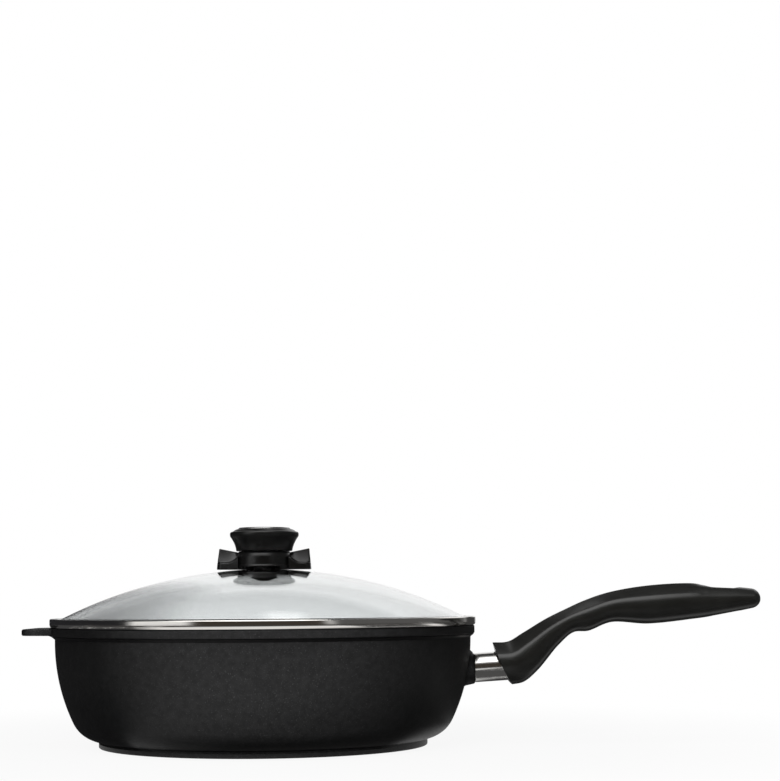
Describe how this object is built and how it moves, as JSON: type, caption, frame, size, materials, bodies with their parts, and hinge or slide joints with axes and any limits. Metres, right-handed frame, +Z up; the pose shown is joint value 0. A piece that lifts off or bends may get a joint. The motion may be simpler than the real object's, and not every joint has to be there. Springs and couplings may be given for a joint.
{
  "type": "deep pan with glass lid",
  "caption": "Deep black cast pan with a long arched handle, a helper tab and a domed glass lid that lifts off; its knob has a winged collar that turns to open or shut a steam vent.",
  "frame": {"origin": "middle of the pan's resting face", "axes": "+Z up along the pan's axis, +X towards the tip of the long handle"},
  "size_m": [0.5081, 0.2936, 0.1492],
  "materials": {
    "cast_black": "matt black speckled non-stick coat on cast aluminium",
    "brushed_steel": "turned or brushed stainless steel",
    "polished_steel": "polished stainless steel",
    "zinc_steel": "zinc-plated steel",
    "brass": "machined brass",
    "phenolic": "satin black moulded phenolic",
    "silicone": "matt black silicone",
    "clear_glass": "clear tempered glass"
  },
  "bodies": {
    "pan": {"pan_body": "cast_black", "induction_disc": "brushed_steel", "lug_bush": "zinc_steel", "handle_ferrule": "polished_steel", "handle_grip": "phenolic", "handle_screw": "zinc_steel", "handle_spring_washer": "zinc_steel"},
    "lid": {"lid_glass": "clear_glass", "lid_rim_band": "polished_steel", "upper_gasket": "silicone", "lower_gasket": "silicone", "steam_stud": "polished_steel", "retaining_nut": "phenolic", "vent_seat": "phenolic", "wave_washer": "brushed_steel", "knob_insert": "brass", "knob_grip": "phenolic", "knob_screw": "zinc_steel", "knob_cap": "brushed_steel"},
    "vent": {"vent_collar": "phenolic"}
  },
  "joints": [
    {"name": "lid_lift", "type": "slide", "parent": "pan", "child": "lid", "axis": [0, 0, 1], "range_m": [0, 0.12]},
    {"name": "vent_turn", "type": "hinge", "parent": "lid", "child": "vent", "pos_m": [0, 0, 0.125], "axis": [0, 0, 1], "range_deg": [0, 90]}
  ]
}
